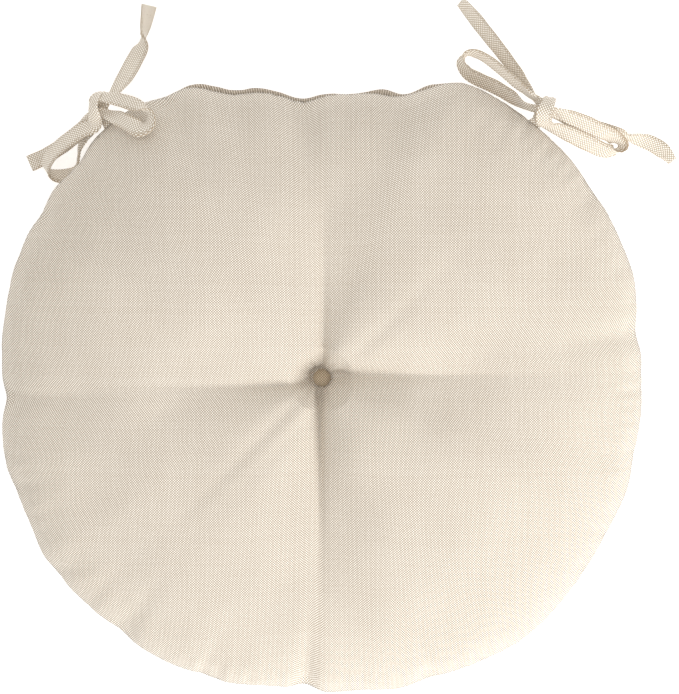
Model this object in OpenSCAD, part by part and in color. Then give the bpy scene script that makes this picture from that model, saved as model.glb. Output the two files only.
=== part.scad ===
// Round tufted seat pad: two fabric panels seamed at the rim around a fibre filling, pulled together
// by a twine between two covered buttons, with a bow of two flat straps at each back corner.
// The row frame has its origin under the middle of the pad, +Z up and +Y towards the ties.

/* [Pad] */
// Radius of the pad's outline, measured from the tuft, halfway between a fold and a lobe
pad_r = 202.5; // [160:0.5:240]
// How far the four lobes stand outside that radius, and the folds inside it
lobe_bulge = 2.8; // [0:0.1:6]
// Distance from the tuft to the middle of the flattened back edge
back_r = 175; // [150:1:200]
// Height of the rim seam above the seat
seam_z = 36; // [28:1:40]
// Nominal crown of the upper lobes above the seam
top_crown = 42; // [25:1:50]
// Nominal crown of the lower lobes below the seam; the seat presses them flat
bottom_crown = 44; // [42:1:50]
// Depth of the four folds that run from the tuft to the rim
fold_depth = 8; // [0:1:14]

/* [Cloth] */
// Thickness of the panel fabric
cloth_t = 0.9; // [0.5:0.1:1.2]
// Width of the turned-in seam allowance
allowance = 10; // [6:1:14]
// How far the lower panel shows past the seam along the closed stuffing opening
lip_w = 3; // [0:0.5:4]
// Distance between two closing stitches
closing_pitch = 6; // [4:1:12]

/* [Tuft] */
// Height of the upper tuft seat above the seam
tuft_top = 8; // [5:0.5:14]
// Depth of the lower tuft seat below the seam
tuft_bottom = 6; // [5:0.5:12]
// Radius of the covered buttons
button_r = 5.5; // [4:0.5:7]
// Height of the covered buttons
button_h = 4; // [3:0.5:6]
// Radius of the waxed twine
twine_r = 1.2; // [0.8:0.1:1.2]

/* [Ties] */
// Width of a tie strap
tie_w = 10; // [6:0.5:12]
// Thickness of a tie strap, two layers of fabric
tie_t = 1.2; // [0.8:0.1:1.3]

/* [Hidden] */

steps_around = 54;           // one step lands on each tie and on the middle of the back
stations = [0.1, 0.2, 0.32, 0.46, 0.6, 0.74, 0.86, 0.94, 0.98, 1];
hole_r = 1.6;                // where the twine passes through a panel
seat_r = button_r + 0.6;     // flat bottom of the tuft's pit
pit_fall = 30;               // how quickly the lobes rise out of the pit
back_spread = 0.046;         // mm of radius gained per squared degree away from the back
seam_gap = 0.3;              // half the space between the two seam allowances
tie_gap = 1.3;               // what the sewn-in straps add to it
tie_spread = 8;              // degrees over which the seam opens for them
inner_inset = 2.5;           // how far a panel's inner surface starts inside the rim
fill_inset = 3.2;
fill_slack = 0.5;            // space between the filling and the panels
thread_t = 0.4;
left_angle = 130;
right_angle = 50;
opening = [68, 114];         // the stuffing opening, closed by hand stitches
sewn_in = 9;                 // length of strap inside the seam
sewn_out = 0.5;              // and what shows before the bow starts
pivot_out = 2;               // the bow swings about a line this far outside the rim
hem_in = 3.6;                // from a strap's middle to its edge stitching

canvas = [0.91, 0.86, 0.79];
canvas_under = [0.84, 0.79, 0.71];
fibre = [0.96, 0.96, 0.95];
thread = [0.93, 0.89, 0.82];
twine = [0.80, 0.74, 0.64];
mould = [0.75, 0.75, 0.77];

// Outline of the pad about the tuft: four slight lobes, pressed flat at the back.
function lobed_r(a) = pad_r - lobe_bulge * cos(4 * a);
function flat_r(a) = back_r + back_spread * pow(a - 90, 2);
function blend_min(p, q) = -2 * ln(exp(-p / 2) + exp(-q / 2));
function rim_r(a) = blend_min(lobed_r(a), min(flat_r(a), lobed_r(a) + 60));
function lip(a) = lip_w * max(0, 1 - pow((a - 91) / 27, 8));
function under_r(a) = rim_r(a) + (a < 180 ? lip(a) : 0);

angles = [for (i = [0:steps_around - 1]) (90 + i * 360 / steps_around) % 360];
rim_y = [for (a = angles) rim_r(a) * sin(a)];
under_y = [for (a = angles) under_r(a) * sin(a)];
tuft_y = -(max(under_y) + min(rim_y)) / 2;

// Height of a panel over the seam at radius r and angle a.
function rise(r) = 1 - exp(-max(0, r - seat_r) / pit_fall);
function fold(u, a) = fold_depth * pow(0.5 + 0.5 * cos(4 * a), 2) * sin(180 * pow(u, 0.7));
function edge(u) = pow(1 - pow(u, 3), 0.6);
function height(r, a, crown, seat) =
    let (u = min(1, r / rim_r(a)))
    edge(u) * (seat + (crown - seat) * rise(r)) - (r > seat_r ? fold(u, a) * edge(u) : 0);
function inside(h, t) = h * h / (h + t);
function near(a, b) = exp(-pow((a - b) / tie_spread, 2));
function half_gap(u, a) = seam_gap + tie_gap * pow(u, 6) * (near(a, left_angle) + near(a, right_angle));

count = len(stations) + 2;
function station(i, rim) = i == 0 ? hole_r : i == 1 ? seat_r : stations[i - 2] * rim;
function share(i) = i < 2 ? 0 : stations[i - 2];

// Signed height of station i from the seam plane: side is 1 above it and -1 below.
function face_z(i, a, side, layer) =
    let (r = station(i, rim_r(a)), base = half_gap(share(i), a) + cloth_t)
    let (full = side > 0 ? height(r, a, top_crown, tuft_top) : height(r, a, bottom_crown, tuft_bottom))
    let (h = side > 0 ? full : min(full, seam_z - base))
    seam_z + side * (base + (layer > 0 ? inside(h, layer) : h));
function side_rim(a, side) = side > 0 ? rim_r(a) : under_r(a);

// Section of a panel: outer face, rim, turned-in allowance, inner face.
function panel_section(a, side) =
    let (rim = side_rim(a, side), g = half_gap(1, a), last = count - 1)
    concat(
        [for (i = [0:last]) [station(i, rim), face_z(i, a, side, 0)]],
        [[rim, seam_z + side * g],
         [rim - allowance, seam_z + side * g],
         [rim - allowance, seam_z + side * (g + cloth_t)]],
        [for (i = [last:-1:0]) [station(i, rim - inner_inset), face_z(i, a, side, cloth_t)]]);

// Section of the filling: it stops short of the rim and is slotted for the seam allowances.
function filling_section(a) =
    let (rim = rim_r(a), slot = half_gap(1, a) + cloth_t + 2 * thread_t, last = count - 2)
    let (slot_r = rim - allowance - 1, end_r = station(last, rim - fill_inset))
    concat(
        [for (i = [0:last]) [station(i, rim - fill_inset), face_z(i, a, 1, cloth_t + fill_slack)]],
        [[end_r, seam_z + slot], [slot_r, seam_z + slot],
         [slot_r, seam_z - slot], [end_r, seam_z - slot]],
        [for (i = [last:-1:0]) [station(i, rim - fill_inset), face_z(i, a, -1, cloth_t + fill_slack)]]);

// Closed solid through sections that stand around the tuft.
module around(sections, flip) {
    n = len(sections);
    m = len(sections[0]);
    points = [for (i = [0:n - 1], p = sections[i]) [p[0] * cos(angles[i]), p[0] * sin(angles[i]), p[1]]];
    faces = [for (i = [0:n - 1], j = [0:m - 1])
        let (k = (i + 1) % n, l = (j + 1) % m, p = i * m + j, q = i * m + l, r = k * m + l, s = k * m + j)
        each flip ? [[p, q, r], [p, r, s]] : [[p, r, q], [p, s, r]]];
    translate([0, tuft_y, 0]) polyhedron(points, faces);
}

module panel(side) {
    around([for (a = angles) panel_section(a, side)], side < 0);
}

module top_panel() {
    color(canvas) panel(1);
}

module bottom_panel() {
    color(canvas_under) panel(-1);
}

module fibre_filling() {
    color(fibre) around([for (a = angles) filling_section(a)], false);
}

// Open solid through rings of points, closed by a cap at each end.
module sweep(rings) {
    n = len(rings);
    m = len(rings[0]);
    sides = [for (i = [0:n - 2], j = [0:m - 1])
        let (l = (j + 1) % m, p = i * m + j, q = i * m + l, r = (i + 1) * m + l, s = (i + 1) * m + j)
        each [[p, r, q], [p, s, r]]];
    caps = [[for (j = [0:m - 1]) j], [for (j = [m - 1:-1:0]) (n - 1) * m + j]];
    polyhedron([for (ring = rings) each ring], concat(sides, caps));
}

// Needle thread on the upper allowance and bobbin thread under the lower one.
module seam_lockstitch() {
    line = [for (i = [0:steps_around - 1]) let (a = angles[i]) if (a < opening[0] || a > opening[1]) a];
    sorted = concat([for (a = line) if (a > opening[1]) a], [for (a = line) if (a < opening[0]) a]);
    color(thread) translate([0, tuft_y, 0]) for (side = [1, -1])
        sweep([for (a = sorted)
            let (r = rim_r(a) - 4.5, z = seam_z + side * (half_gap(1, a) + cloth_t + thread_t / 2 + 0.05))
            [for (p = [[-1, -1], [-1, 1], [1, 1], [1, -1]])
                [(r + p[0] * thread_t) * cos(a), (r + p[0] * thread_t) * sin(a), z + p[1] * thread_t / 2]]]);
}

module closing_stitches() {
    turn = closing_pitch / back_r * 180 / PI;
    color(thread) translate([0, tuft_y, 0]) for (a = [opening[0] + 2 * turn:turn:opening[1] - turn])
        rotate([0, 0, a]) translate([rim_r(a) + 0.6, -thread_t, seam_z - seam_gap + 0.05])
            cube([lip_w - 1.4, 2 * thread_t, thread_t]);
}

// Heights of the two tuft seats, where the buttons rest.
top_seat_z = seam_z + seam_gap + cloth_t + tuft_top + 0.1;
bottom_seat_z = seam_z - seam_gap - cloth_t - tuft_bottom - 0.1;

module tuft_twine() {
    reach = cloth_t + 1.6;
    color(twine) translate([0, tuft_y, bottom_seat_z - reach])
        cylinder(r = twine_r, h = top_seat_z - bottom_seat_z + 2 * reach, $fn = 24);
}

// Dome of a button from its foot to its crown, as half a section.
function dome(r, h, foot) = [for (i = [0:8]) [r * cos(i * 90 / 8), foot + (h - foot) * sin(i * 90 / 8)]];

module button_cover() {
    wall = 0.6;
    rotate_extrude($fn = 48) polygon(concat(
        [[button_r * 0.55, 0], [button_r * 0.9, 0]],
        dome(button_r, button_h, 0.8),
        [for (i = [8:-1:0]) dome(button_r - wall, button_h - wall, 0.9)[i]],
        [[button_r * 0.55, wall]]));
}

module button_mould() {
    shell = 0.7;
    bore = twine_r + 0.1;
    rotate_extrude($fn = 48) polygon(concat(
        [[bore, shell + 0.1]],
        [for (p = dome(button_r - shell, button_h - shell, 1)) [p[0], p[1]]],
        [[0, button_h - shell - 0.4], [bore, button_h - shell - 0.4]]));
}

module at_top_seat() {
    translate([0, tuft_y, top_seat_z]) children();
}

module at_bottom_seat() {
    translate([0, tuft_y, bottom_seat_z]) rotate([180, 0, 0]) children();
}

module top_button_cover() {
    color(canvas) at_top_seat() button_cover();
}

module top_button_mould() {
    color(mould) at_top_seat() button_mould();
}

module bottom_button_cover() {
    color(canvas_under) at_bottom_seat() button_cover();
}

module bottom_button_mould() {
    color(mould) at_bottom_seat() button_mould();
}

// The two ends of a bow's straps, one on the other between the seam allowances.
module sewn_ends(a) {
    translate([0, tuft_y, seam_z]) rotate([0, 0, a]) for (side = [1, -1])
        translate([rim_r(a) - sewn_in, -tie_w / 2, side * (tie_t / 2 + 0.05) - tie_t / 2])
            cube([sewn_in + sewn_out, tie_w, tie_t]);
}

module left_tie_sewn_ends() {
    color(canvas) sewn_ends(left_angle);
}

module right_tie_sewn_ends() {
    color(canvas) sewn_ends(right_angle);
}

// Dense stitches on the upper allowance that hold the sewn-in ends.
module bar_tack(a) {
    tack_l = 2.4;
    translate([0, tuft_y, seam_z + half_gap(1, a) + cloth_t + 0.05]) rotate([0, 0, a])
        for (y = [-4:1:4]) translate([rim_r(a) - 8.5, y - thread_t / 2, 0])
            cube([tack_l, thread_t, thread_t]);
}

module left_tie_bar_tack() {
    color(thread) bar_tack(left_angle);
}

module right_tie_bar_tack() {
    color(thread) bar_tack(right_angle);
}

// Routes of the four straps from the pivot outside the rim seam. Each row holds the strap's middle
// x, y and z, the direction of its width x, y and z, and its width as a share of tie_w, since the
// knot bunches the cloth. z counts from the seat and the rest from the pivot.
left_first = [
    [-0.6, 0.8, 36.7, 0.77, 0.64, 0, 0.7],
    [-3.7, 5.2, 36, 0.8, 0.6, 0, 0.6],
    [-7.5, 9, 37.5, 0.7, 0.7, 0.2, 0.6],
    [-9.4, 13.3, 41, 0.6, -0.2, 0.75, 0.6],
    [-6.2, 16.1, 44, 0.3, -0.5, 0.8, 0.7],
    [1.9, 15.4, 47.5, 0.2, -0.7, 0.65, 0.9],
    [11.9, 13.2, 51.5, 0.3, -0.75, 0.55, 1],
    [20.6, 10, 55, 0.5, -0.6, 0.6, 1],
    [26.6, 5, 58.5, 0.6, -0.4, 0.7, 1],
    [26.8, -0.8, 60.5, 0.5, -0.5, 0.7, 1],
    [21.8, -3.4, 60.5, 0.45, -0.7, 0.5, 1.05],
    [15.2, -1, 57, 0.45, -0.8, 0.35, 1.1],
    [8.1, 2.4, 51, 0.45, -0.75, 0.45, 1],
    [1.2, 4.6, 45.5, 0.4, -0.7, 0.6, 0.7],
    [-4.4, 6.4, 41.5, 0.3, -0.9, 0.3, 0.6],
    [-9.4, 3.9, 38, 0.5, -0.8, 0, 0.7],
    [-15.6, -3.6, 31, 0.5, -0.8, 0, 0.9],
    [-25, -11.7, 21.5, 0.55, -0.8, 0, 1],
    [-35, -18.5, 11, 0.4, -0.9, 0, 1],
    [-43, -23, 4, 0.3, -0.95, 0, 1],
    [-51.8, -27, 1.6, 0.3, -0.95, 0, 1]
];
left_second = [
    [-0.6, 0.8, 35.3, 0.77, 0.64, 0, 0.7],
    [-3.1, 7, 33, 0.9, 0.4, 0, 0.7],
    [-4.4, 13.9, 33.5, 1, 0.1, 0, 0.7],
    [-4.4, 18.3, 38.5, 1, 0.1, 0, 0.7],
    [-6.6, 15.8, 45, 0.85, 0.25, 0.45, 0.9],
    [-8.2, 9.5, 47.8, 0.75, 0.3, 0.6, 1],
    [-7.4, 3, 46, 0.75, 0.35, 0.55, 1],
    [-8.5, -2, 40.5, 0.8, 0, 0.5, 0.9],
    [-15.6, -4.8, 36.5, 0.5, -0.75, 0.45, 1],
    [-25, -11, 33, 0.5, -0.75, 0.45, 1],
    [-33.7, -18, 26.5, 0.5, -0.75, 0.45, 1],
    [-39.3, -24.8, 18, 0.5, -0.7, 0.5, 1],
    [-40.6, -30.4, 12, 0.5, -0.7, 0.5, 1],
    [-35.6, -34, 8.5, 0.4, -0.75, 0.5, 1],
    [-28, -34, 8, 0.3, -0.75, 0.6, 1],
    [-21.8, -30.4, 10.5, 0.2, -0.5, 0.85, 1],
    [-20, -23.5, 15.5, 0.1, -0.3, 0.95, 1],
    [-18.6, -16.2, 21.5, 0.2, -0.3, 0.93, 1],
    [-14.2, -9.4, 28, 0.3, -0.4, 0.85, 0.9],
    [-8.2, -2.2, 34, 0.5, -0.4, 0.7, 0.7],
    [-3.7, 4.6, 39, 0.6, -0.2, 0.75, 0.6],
    [0, 12, 39.5, 0.6, 0, 0.8, 0.6],
    [5.6, 20.2, 35, 0.7, -0.3, 0.6, 0.9],
    [11.2, 29.5, 25, 0.8, -0.5, 0.2, 1],
    [15.6, 38.3, 14.5, 0.85, -0.5, 0, 1],
    [19, 45.5, 8.5, 0.75, -0.45, 0.45, 1],
    [20.4, 50.6, 6, 0.3, -0.2, 0.93, 1],
    [21.3, 56, 5.6, -0.45, 0.05, 0.88, 1],
    [22.6, 63.2, 4.9, -0.75, 0.08, 0.65, 1],
    [24.3, 72.6, 3.4, -0.92, 0.1, 0.35, 1]
];
right_first = [
    [0.6, 0.8, 36.7, 0.77, -0.64, 0, 0.7],
    [2.5, 5.2, 35.8, 0.8, -0.6, 0, 0.6],
    [4.4, 9.5, 37, 0.7, -0.4, 0.4, 0.6],
    [2, 13.5, 40, 0.5, 0.3, 0.8, 0.7],
    [-3.4, 16.8, 40, 0.2, 0.2, 0.95, 0.9],
    [-11.2, 23.4, 38.5, 0.4, 0.35, 0.8, 1],
    [-20, 30.8, 36.5, 0.4, 0.35, 0.8, 1],
    [-28.7, 37.6, 34, 0.4, 0.35, 0.8, 1],
    [-36.8, 42, 31.5, 0.35, 0.4, 0.83, 1],
    [-43, 41.4, 28, 0.35, 0.4, 0.83, 1],
    [-45.5, 36.4, 25, 0.4, 0.5, 0.75, 1],
    [-42.4, 30.6, 22.5, 0.35, 0.65, 0.65, 1],
    [-35, 26.3, 21.5, 0.35, 0.75, 0.55, 1],
    [-25, 21.8, 23, 0.35, 0.75, 0.55, 1],
    [-15, 15.6, 28, 0.3, 0.7, 0.6, 1],
    [-6.6, 9.9, 35.5, 0.1, 0.5, 0.85, 0.8],
    [0.6, 8.2, 41.2, 0.1, 0.8, 0.5, 0.6],
    [7.5, 6.4, 41.5, 0.2, 0.8, 0.5, 0.6],
    [14.4, 4.6, 39, 0.3, 0.8, 0.4, 0.8],
    [26.2, 0.2, 32.5, 0.3, 0.9, 0.2, 1],
    [40.6, -4.8, 23, 0.3, 0.9, 0, 1],
    [51.8, -8, 14, 0.3, 0.8, 0.5, 1],
    [58, -9.2, 9.5, 0.2, 0.3, 0.93, 1],
    [65.5, -11.4, 6, 0.3, 0.8, 0.5, 1],
    [74.3, -14.2, 2.8, 0.4, 0.9, 0.05, 1],
    [82.4, -19.2, 1.8, 0.6, 0.8, 0, 1],
    [88.3, -25.6, 1.6, 0.65, 0.75, 0, 0.85]
];
right_second = [
    [0.6, 0.8, 35.3, 0.77, -0.64, 0, 0.7],
    [3.1, 6.4, 32.5, 0.9, -0.3, 0, 0.7],
    [5.6, 11.4, 33, 1, -0.2, 0, 0.7],
    [8.6, 15, 38.5, 1, -0.2, 0, 0.7],
    [7.2, 12.4, 45.4, 1, -0.1, 0, 0.8],
    [4.4, 6.4, 48, 1, 0, 0, 1],
    [4.4, 0.2, 45, 0.95, 0.1, 0.2, 1],
    [7.5, -2, 40, 0.8, 0.3, 0.5, 0.9],
    [13.7, -4.2, 36, 0.35, 0.7, 0.6, 1.05],
    [23.7, -8.6, 32, 0.4, 0.8, 0.4, 1.1],
    [34.3, -13.8, 26.5, 0.4, 0.8, 0.4, 1.1],
    [43, -18, 21, 0.4, 0.8, 0.45, 1.05],
    [50, -18.5, 18.5, 0.3, 0.6, 0.7, 1.1],
    [53, -14.4, 20.5, 0.3, 0.5, 0.8, 1.2],
    [48.7, -9.2, 26, 0.35, 0.6, 0.7, 1.1],
    [40, -5.2, 32, 0.35, 0.75, 0.5, 1.1],
    [29.3, 0, 37, 0.35, 0.8, 0.45, 1.05],
    [19.3, 3.8, 41, 0.3, 0.75, 0.55, 1],
    [11.9, 7, 42.5, 0.2, 0.6, 0.75, 0.7],
    [5.2, 8.6, 41.5, 0.3, 0.5, 0.8, 0.5],
    [0, 13.2, 39, 0.3, 0.3, 0.9, 0.7],
    [-5, 21.4, 34.5, 0.4, 0.35, 0.8, 1],
    [-11.2, 29.5, 31, 0.55, 0.4, 0.7, 1],
    [-18, 38.9, 28, 0.6, 0.45, 0.65, 1],
    [-25, 48.2, 25, 0.65, 0.5, 0.55, 1],
    [-31.8, 57, 22, 0.7, 0.5, 0.5, 1],
    [-38.7, 65.7, 19, 0.7, 0.55, 0.45, 1],
    [-46.5, 74.8, 16, 0.65, 0.55, 0.5, 0.9]
];

function pivot(a) = let (r = rim_r(a) + pivot_out) [r * cos(a), r * sin(a) + tuft_y, 0];

// A smooth curve through the rows: Catmull-Rom, with the end rows standing in past the ends.
function row(route, i) = route[max(0, min(len(route) - 1, i))];
function curve(a, b, c, d, t) =
    b + (c - a) * t / 2 + (a - 2.5 * b + 2 * c - d / 2) * t * t + (1.5 * b - a / 2 - 1.5 * c + d / 2) * t * t * t;
function along(route, s) =
    let (i = min(floor(s), len(route) - 2))
    curve(row(route, i - 1), row(route, i), row(route, i + 1), row(route, i + 2), s - i);
function spot(route, s) = let (p = along(route, s)) [p[0], p[1], p[2]];
function unit(v) = v / norm(v);
function heading(route, s) =
    unit(spot(route, min(len(route) - 1, s + 0.02)) - spot(route, max(0, s - 0.02)));

// Ring of the strap at s: offsets are [across, through] pairs, across being a share of the width.
function strap_ring(route, s, offsets) =
    let (p = along(route, s), t = heading(route, s), w = [p[3], p[4], p[5]])
    let (across = unit(w - (w * t) * t), through = cross(t, across))
    [for (o = offsets) [p[0], p[1], p[2]] + across * o[0] * p[6] * tie_w + through * o[1]];
function steps(route, parts) = [for (k = [0:(len(route) - 1) * parts]) k / parts];

module strap(a, route, parts) {
    half = tie_t / 2;
    corners = [[-0.5, -half], [0.5, -half], [0.5, half], [-0.5, half]];
    translate(pivot(a)) sweep([for (s = steps(route, parts)) strap_ring(route, s, corners)]);
}

// One line of thread along a strap's folded edge, on its upper face.
module edge_stitching(a, route, parts) {
    foot = tie_t / 2 + 0.08;
    middle = hem_in / tie_w;
    half = 0.025;
    corners = [[middle - half, foot], [middle + half, foot], [middle, foot + 0.3]];
    translate(pivot(a)) sweep([for (s = steps(route, parts)) strap_ring(route, s, corners)]);
}

module left_tie_first_strap() {
    color(canvas) strap(left_angle, left_first, 4);
}

module left_tie_second_strap() {
    color(canvas) strap(left_angle, left_second, 3);
}

module right_tie_first_strap() {
    color(canvas) strap(right_angle, right_first, 3);
}

module right_tie_second_strap() {
    color(canvas) strap(right_angle, right_second, 3);
}

module left_tie_first_edge_stitching() {
    color(thread) edge_stitching(left_angle, left_first, 4);
}

module left_tie_second_edge_stitching() {
    color(thread) edge_stitching(left_angle, left_second, 3);
}

module right_tie_first_edge_stitching() {
    color(thread) edge_stitching(right_angle, right_first, 3);
}

module right_tie_second_edge_stitching() {
    color(thread) edge_stitching(right_angle, right_second, 3);
}

top_panel();
bottom_panel();
fibre_filling();
seam_lockstitch();
closing_stitches();
tuft_twine();
top_button_cover();
top_button_mould();
bottom_button_cover();
bottom_button_mould();
left_tie_sewn_ends();
right_tie_sewn_ends();
left_tie_bar_tack();
right_tie_bar_tack();
left_tie_first_strap();
left_tie_second_strap();
right_tie_first_strap();
right_tie_second_strap();
left_tie_first_edge_stitching();
left_tie_second_edge_stitching();
right_tie_first_edge_stitching();
right_tie_second_edge_stitching();
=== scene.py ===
"""Round tufted seat pad with two tied bows: cloth, stuffing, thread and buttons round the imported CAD."""
import math

import bmesh
import bpy
import numpy as np
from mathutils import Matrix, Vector
from mathutils.geometry import delaunay_2d_cdt


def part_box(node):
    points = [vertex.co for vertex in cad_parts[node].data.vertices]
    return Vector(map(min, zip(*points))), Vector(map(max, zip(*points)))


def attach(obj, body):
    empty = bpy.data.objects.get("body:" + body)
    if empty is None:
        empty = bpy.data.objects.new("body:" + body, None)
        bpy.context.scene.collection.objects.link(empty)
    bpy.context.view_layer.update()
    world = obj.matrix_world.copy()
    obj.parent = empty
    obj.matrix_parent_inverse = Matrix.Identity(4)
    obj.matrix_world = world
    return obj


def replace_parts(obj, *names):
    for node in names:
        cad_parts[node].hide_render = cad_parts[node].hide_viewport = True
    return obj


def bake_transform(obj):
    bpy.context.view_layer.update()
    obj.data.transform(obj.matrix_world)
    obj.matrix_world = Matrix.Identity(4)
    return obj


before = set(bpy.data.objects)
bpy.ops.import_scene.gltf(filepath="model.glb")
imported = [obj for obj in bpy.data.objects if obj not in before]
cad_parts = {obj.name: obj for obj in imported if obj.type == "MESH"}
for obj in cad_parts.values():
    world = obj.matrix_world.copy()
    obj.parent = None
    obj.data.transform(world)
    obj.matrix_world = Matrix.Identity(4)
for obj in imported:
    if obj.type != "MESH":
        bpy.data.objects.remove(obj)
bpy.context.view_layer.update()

# Lengths are in millimetres up to the point where a mesh is made, and angles round the tuft in degrees.
MM = 0.001
TUFT_Y = 7.67                           # the tuft's y; its x is 0
SEAM_Z = 36.0                           # height of the seam over the seat
CLOTH = 0.9                             # thickness of the pad's cloth
TIE_W = 10.0                            # width of a strap
TIE_T = 1.2                             # thickness of a strap
LEFT_ANGLE, RIGHT_ANGLE = 130.0, 50.0   # where the straps leave the seam
PIVOT_OUT = 2.0                         # from the seam out to a bow's pivot
rng = np.random.default_rng(11)


def linked(name, data):
    obj = bpy.data.objects.new(name, data)
    bpy.context.collection.objects.link(obj)
    return obj


# ------------ camera, light and floor

def sphere_dir(azimuth, elevation):
    """Unit vector; azimuth runs from +x towards +y."""
    a, e = math.radians(azimuth), math.radians(elevation)
    return Vector((math.cos(a) * math.cos(e), math.sin(a) * math.cos(e), math.sin(e)))


def area_light(name, azimuth, elevation, distance, size, watts, colour, target):
    light = bpy.data.lights.new(name, "AREA")
    light.size, light.energy, light.color = size, watts, colour
    obj = linked(name, light)
    obj.location = Vector(target) + sphere_dir(azimuth, elevation) * distance
    obj.rotation_euler = (Vector(target) - obj.location).to_track_quat("-Z", "Y").to_euler()


# The camera looks down from VIEW_TILT degrees behind the vertical and sees VIEW_HEIGHT metres of height.
VIEW_CENTRE = Vector((0.0109, 0.0264, 0.040))
VIEW_TILT = 5.0
VIEW_DISTANCE = 2.2
VIEW_HEIGHT = 0.433

camera_data = bpy.data.cameras.new("camera")
camera_data.lens = camera_data.sensor_width * VIEW_DISTANCE / VIEW_HEIGHT
camera_data.clip_end = 20
camera = linked("camera", camera_data)
camera.location = VIEW_CENTRE + sphere_dir(90, 90 - VIEW_TILT) * VIEW_DISTANCE
camera.rotation_euler = (math.radians(-VIEW_TILT), 0, 0)
bpy.context.scene.camera = camera

world = bpy.data.worlds.new("studio")
bpy.context.scene.world = world
world.use_nodes = True
sky = world.node_tree.nodes["Background"]
sky.inputs["Color"].default_value = (1.0, 0.985, 0.965, 1)
sky.inputs["Strength"].default_value = 0.80
bpy.context.scene.view_settings.view_transform = "Standard"

area_light("key", -51, 30, 1.5, 0.8, 15.6, (1.0, 0.99, 0.975), (0, 0, 0.03))
area_light("top", 110, 76, 1.7, 1.2, 4.2, (1.0, 0.99, 0.98), (0, 0, 0.03))
area_light("side", 40, 38, 0.8, 0.4, 0.25, (1.0, 0.99, 0.98), (0.12, 0.17, 0.03))


# ------------ materials

class Net:
    """Builds a node tree from short calls."""

    def __init__(self, name, roughness, sheen=0.0, metallic=0.0):
        self.material = bpy.data.materials.new(name)
        self.material.use_nodes = True
        self.tree = self.material.node_tree
        self.shader = self.tree.nodes["Principled BSDF"]
        self.shader.inputs["Roughness"].default_value = roughness
        self.shader.inputs["Sheen Weight"].default_value = sheen
        self.shader.inputs["Sheen Roughness"].default_value = 0.55
        self.shader.inputs["Metallic"].default_value = metallic
        self.shader.inputs["Specular IOR Level"].default_value = 0.25

    def node(self, kind, **values):
        node = self.tree.nodes.new(kind)
        for key, value in values.items():
            setattr(node, key, value)
        return node

    def put(self, socket, value):
        if isinstance(value, bpy.types.NodeSocket):
            self.tree.links.new(value, socket)
        else:
            socket.default_value = value

    def math(self, operation, a, b=0.0):
        node = self.node("ShaderNodeMath", operation=operation)
        for socket, value in zip(node.inputs, (a, b)):
            self.put(socket, value)
        return node.outputs[0]

    def plus(self, a, b):
        return self.math("ADD", a, b)

    def minus(self, a, b):
        return self.math("SUBTRACT", a, b)

    def times(self, a, b):
        return self.math("MULTIPLY", a, b)

    def noise(self, vector, scale, detail=2.0, rough=0.5):
        node = self.node("ShaderNodeTexNoise")
        self.put(node.inputs["Vector"], vector)
        node.inputs["Scale"].default_value = scale
        node.inputs["Detail"].default_value = detail
        node.inputs["Roughness"].default_value = rough
        return node.outputs["Fac"]

    def random(self, w):
        node = self.node("ShaderNodeTexWhiteNoise", noise_dimensions="1D")
        self.put(node.inputs["W"], w)
        return node.outputs["Value"]

    def uv(self):
        node = self.node("ShaderNodeUVMap", uv_map="cloth")
        parts = self.node("ShaderNodeSeparateXYZ")
        self.put(parts.inputs[0], node.outputs[0])
        return node.outputs[0], parts.outputs[0], parts.outputs[1]

    def object_coords(self):
        return self.node("ShaderNodeTexCoord").outputs["Object"]

    def ramp(self, fac, low, high, dark, light):
        node = self.node("ShaderNodeMapRange")
        self.put(node.inputs["Value"], fac)
        node.inputs["From Min"].default_value = low
        node.inputs["From Max"].default_value = high
        mix = self.node("ShaderNodeMix", data_type="RGBA")
        self.put(mix.inputs["Factor"], node.outputs[0])
        mix.inputs["A"].default_value = (*dark, 1)
        mix.inputs["B"].default_value = (*light, 1)
        return mix.outputs["Result"]

    def colour(self, socket):
        self.put(self.shader.inputs["Base Color"], socket)

    def bump(self, height, strength, distance):
        node = self.node("ShaderNodeBump")
        node.inputs["Strength"].default_value = strength
        node.inputs["Distance"].default_value = distance
        self.put(node.inputs["Height"], height)
        self.put(self.shader.inputs["Normal"], node.outputs[0])


def linear(r, g, b):
    """sRGB 0..255 to linear."""
    return tuple(((c / 255 + 0.055) / 1.055) ** 2.4 if c > 10 else c / 255 / 12.92 for c in (r, g, b))


FLOAT_LIGHT = 0.7          # painted light: how much paler the warp is painted where it lies over the weft, for the light it catches there
SLUB = 0.05               # unevenness from thread to thread
EDGE_SHADE_FROM = 4.0           # painted shade: a strap's colour darkens past this distance from its middle, towards its rounded, folded edges
PIT_SHADE_R = 8.5               # painted shade: radius of the darker cloth round the tuft, standing in for the shade of its hollow


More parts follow.
